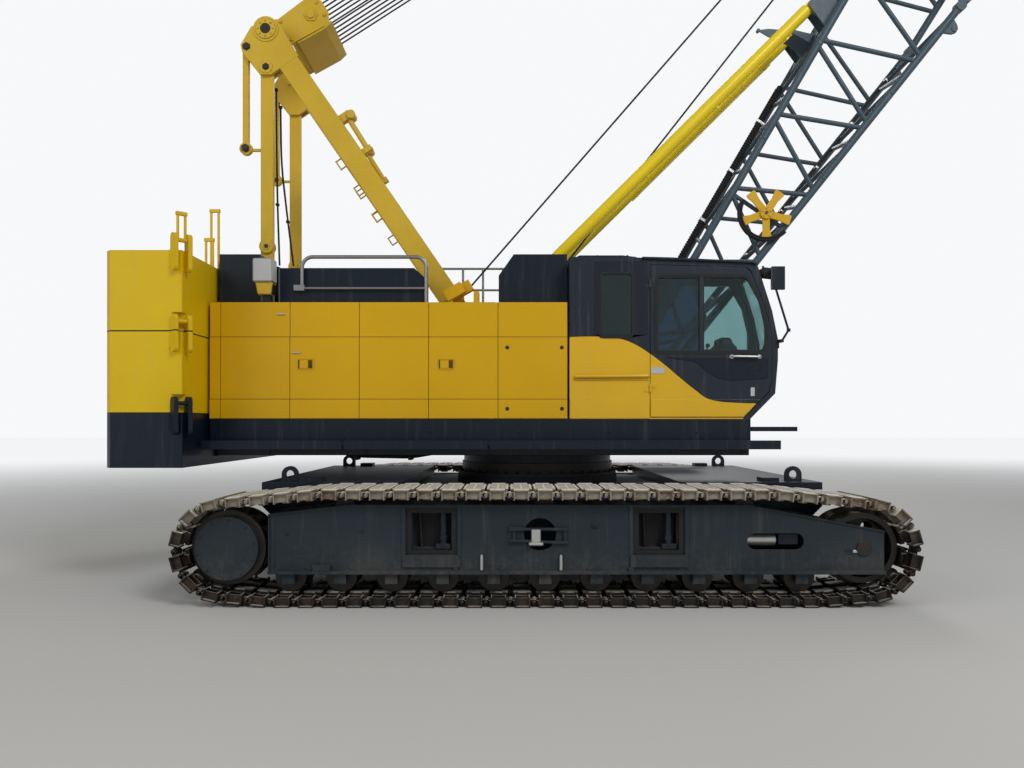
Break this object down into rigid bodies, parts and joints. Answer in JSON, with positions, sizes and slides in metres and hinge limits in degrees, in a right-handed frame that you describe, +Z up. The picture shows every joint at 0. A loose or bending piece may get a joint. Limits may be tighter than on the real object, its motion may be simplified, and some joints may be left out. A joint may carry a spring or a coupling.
{
  "type": "crawler crane",
  "caption": "Tracked crane with a slewing upper works, cab, stacked counterweight, gantry and luffing lattice boom that carries a hook block.",
  "frame": {"origin": "centre of the bounding box's floor, on the ground under the tracks", "axes": "+X forward, the way the boom points; +Y to the crane's left; +Z up"},
  "size_m": [14.7563, 5.5, 14.6756],
  "materials": {
    "track_steel": "rusty, dusty on top",
    "frame_paint": "satin",
    "dark_paint": "satin",
    "panel_yellow": "semi-gloss",
    "weight_yellow": "semi-gloss",
    "gantry_yellow": "weathered satin",
    "stop_yellow": "gloss",
    "boom_paint": "satin",
    "greased_steel": "greasy",
    "wire_rope": "oiled strand",
    "window_glass": "tinted",
    "seat_trim": "matt"
  },
  "bodies": {
    "undercarriage": {"carbody": "frame_paint", "carbody_weight_front": "dark_paint", "carbody_weight_rear": "dark_paint", "swing_ring": "greased_steel", "side_frame_right": "frame_paint", "side_frame_left": "frame_paint", "track_right": "track_steel", "track_left": "track_steel", "drive_wheel_right": "greased_steel", "drive_wheel_left": "greased_steel", "idler_right": "greased_steel", "idler_left": "greased_steel", "rollers_right": "greased_steel", "rollers_left": "greased_steel"},
    "upper": {"deck": "dark_paint", "platform_right": "dark_paint", "platform_left": "dark_paint", "winch_frame": "frame_paint", "house_right": "panel_yellow", "house_left": "panel_yellow", "hood_rear": "dark_paint", "hood_middle": "dark_paint", "hood_front": "dark_paint", "engine_block": "greased_steel", "counterweight_lower": "dark_paint", "counterweight_middle": "weight_yellow", "counterweight_upper": "weight_yellow", "cab_shell": "dark_paint", "cab_glass": "window_glass", "cab_seat": "seat_trim", "handrails": "greased_steel", "mirror_arm": "dark_paint", "gantry_front_legs": "gantry_yellow", "gantry_rear_legs": "gantry_yellow", "gantry_head": "gantry_yellow"},
    "cab_door": {"cab_door": "dark_paint", "cab_door_glass": "window_glass"},
    "house_door_1": {"house_door_1": "panel_yellow"},
    "house_door_2": {"house_door_2": "panel_yellow"},
    "house_door_3": {"house_door_3": "panel_yellow"},
    "house_door_4": {"house_door_4": "panel_yellow"},
    "house_door_5": {"house_door_5": "panel_yellow"},
    "drum_front": {"drum_front": "greased_steel"},
    "drum_rear": {"drum_rear": "greased_steel"},
    "drum_boom_hoist": {"drum_boom_hoist": "greased_steel"},
    "boom": {"boom_butt": "boom_paint", "boom_tip": "boom_paint", "boom_head": "greased_steel"},
    "cable_reel": {"cable_reel": "panel_yellow"},
    "backstop_rods": {"backstop_rods": "greased_steel"},
    "backstop_tubes": {"backstop_tubes": "stop_yellow"},
    "gantry_block": {"gantry_block": "gantry_yellow", "reeving": "wire_rope"},
    "bridle": {"bridle": "gantry_yellow"},
    "rope_rear": {"hoist_rope_rear": "wire_rope"},
    "rope_rear_end": {"hoist_rope_rear_end": "wire_rope"},
    "rope_front": {"hoist_rope_front": "wire_rope"},
    "rope_front_end": {"hoist_rope_front_end": "wire_rope"},
    "falls": {"hook_falls": "wire_rope"},
    "hook": {"hook_block": "panel_yellow"}
  },
  "joints": [
    {"name": "swing", "type": "hinge", "parent": "undercarriage", "child": "upper", "pos_m": [-2.93, 0, 1.27], "axis": [0, 0, 1], "continuous": true},
    {"name": "cab_door_swing", "type": "hinge", "parent": "upper", "child": "cab_door", "pos_m": [-1.738, -1.514, 2.5], "axis": [0, 0, -1], "range_deg": [0, 95]},
    {"name": "house_door_1_swing", "type": "hinge", "parent": "upper", "child": "house_door_1", "pos_m": [-6.44, -1.5, 2.4], "axis": [0, 0, -1], "range_deg": [0, 90]},
    {"name": "house_door_2_swing", "type": "hinge", "parent": "upper", "child": "house_door_2", "pos_m": [-5.68, -1.5, 2.4], "axis": [0, 0, -1], "range_deg": [0, 90]},
    {"name": "house_door_3_swing", "type": "hinge", "parent": "upper", "child": "house_door_3", "pos_m": [-4.92, -1.5, 2.4], "axis": [0, 0, -1], "range_deg": [0, 90]},
    {"name": "house_door_4_swing", "type": "hinge", "parent": "upper", "child": "house_door_4", "pos_m": [-4.16, -1.5, 2.4], "axis": [0, 0, -1], "range_deg": [0, 90]},
    {"name": "house_door_5_swing", "type": "hinge", "parent": "upper", "child": "house_door_5", "pos_m": [-3.4, -1.5, 2.4], "axis": [0, 0, -1], "range_deg": [0, 90]},
    {"name": "drum_front_turn", "type": "hinge", "parent": "upper", "child": "drum_front", "pos_m": [-3.36, 0, 2.33], "axis": [0, 1, 0], "continuous": true},
    {"name": "drum_rear_turn", "type": "hinge", "parent": "upper", "child": "drum_rear", "pos_m": [-4.41, 0, 2.33], "axis": [0, 1, 0], "continuous": true},
    {"name": "drum_boom_hoist_turn", "type": "hinge", "parent": "upper", "child": "drum_boom_hoist", "pos_m": [-5.43, 0, 2.3], "axis": [0, 1, 0], "continuous": true},
    {"name": "boom_luff", "type": "hinge", "parent": "upper", "child": "boom", "pos_m": [-1.98, 0, 1.85], "axis": [0, -1, 0], "range_deg": [-25.6, 21.4]},
    {"name": "cable_reel_turn", "type": "hinge", "parent": "boom", "child": "cable_reel", "pos_m": [-0.243, -0.79, 4.2275], "axis": [0, 1, 0], "continuous": true},
    {"name": "backstop_tilt", "type": "hinge", "parent": "upper", "child": "backstop_rods", "pos_m": [-3.43, 0, 3.05], "axis": [0, -1, 0], "range_deg": [-24.8, 20.8]},
    {"name": "backstop_slide", "type": "slide", "parent": "backstop_rods", "child": "backstop_tubes", "axis": [0.7106, 0, 0.7036], "range_m": [-0.69, 0.83]},
    {"name": "gantry_block_tilt", "type": "hinge", "parent": "upper", "child": "gantry_block", "pos_m": [-6.186, 0, 6.44], "axis": [0, -1, 0], "range_deg": [-23.8, 19.9]},
    {"name": "bridle_reach", "type": "slide", "parent": "gantry_block", "child": "bridle", "axis": [0.8415, 0, 0.5403], "range_m": [-2.22, 2.66], "deforming": ["reeving"]},
    {"name": "rope_rear_tilt", "type": "hinge", "parent": "upper", "child": "rope_rear", "pos_m": [-4.41, 0, 2.33], "axis": [0, -1, 0], "range_deg": [-24, 20.1]},
    {"name": "rope_rear_reach", "type": "slide", "parent": "rope_rear", "child": "rope_rear_end", "axis": [0.6519, 0, 0.7583], "range_m": [-0.77, 0.92], "deforming": ["hoist_rope_rear", "hoist_rope_rear_end"]},
    {"name": "rope_front_tilt", "type": "hinge", "parent": "upper", "child": "rope_front", "pos_m": [-3.36, 0, 2.33], "axis": [0, -1, 0], "range_deg": [-25.1, 21]},
    {"name": "rope_front_reach", "type": "slide", "parent": "rope_front", "child": "rope_front_end", "axis": [0.6118, 0, 0.791], "range_m": [-0.49, 0.58], "deforming": ["hoist_rope_front", "hoist_rope_front_end"]},
    {"name": "falls_hang", "type": "hinge", "parent": "boom", "child": "falls", "pos_m": [7.0614, 0, 14.3112], "axis": [0, -1, 0], "range_deg": [-21.7, 25.9]},
    {"name": "hook_hoist", "type": "slide", "parent": "falls", "child": "hook", "axis": [0, 0, 1], "range_m": [-6, 0.1], "deforming": ["hook_falls"]}
  ],
  "couplings": [
    {"joint": "backstop_tilt", "follows": "boom_luff", "ratio": 0.9557},
    {"joint": "backstop_slide", "follows": "boom_luff", "m_per_rad": -1.8032},
    {"joint": "gantry_block_tilt", "follows": "boom_luff", "ratio": 0.9179},
    {"joint": "bridle_reach", "follows": "boom_luff", "m_per_rad": -5.8999},
    {"joint": "rope_rear_tilt", "follows": "boom_luff", "ratio": 0.9239},
    {"joint": "rope_rear_reach", "follows": "boom_luff", "m_per_rad": -2.007},
    {"joint": "rope_front_tilt", "follows": "boom_luff", "ratio": 0.9692},
    {"joint": "rope_front_reach", "follows": "boom_luff", "m_per_rad": -1.2617},
    {"joint": "falls_hang", "follows": "boom_luff", "ratio": -1}
  ]
}
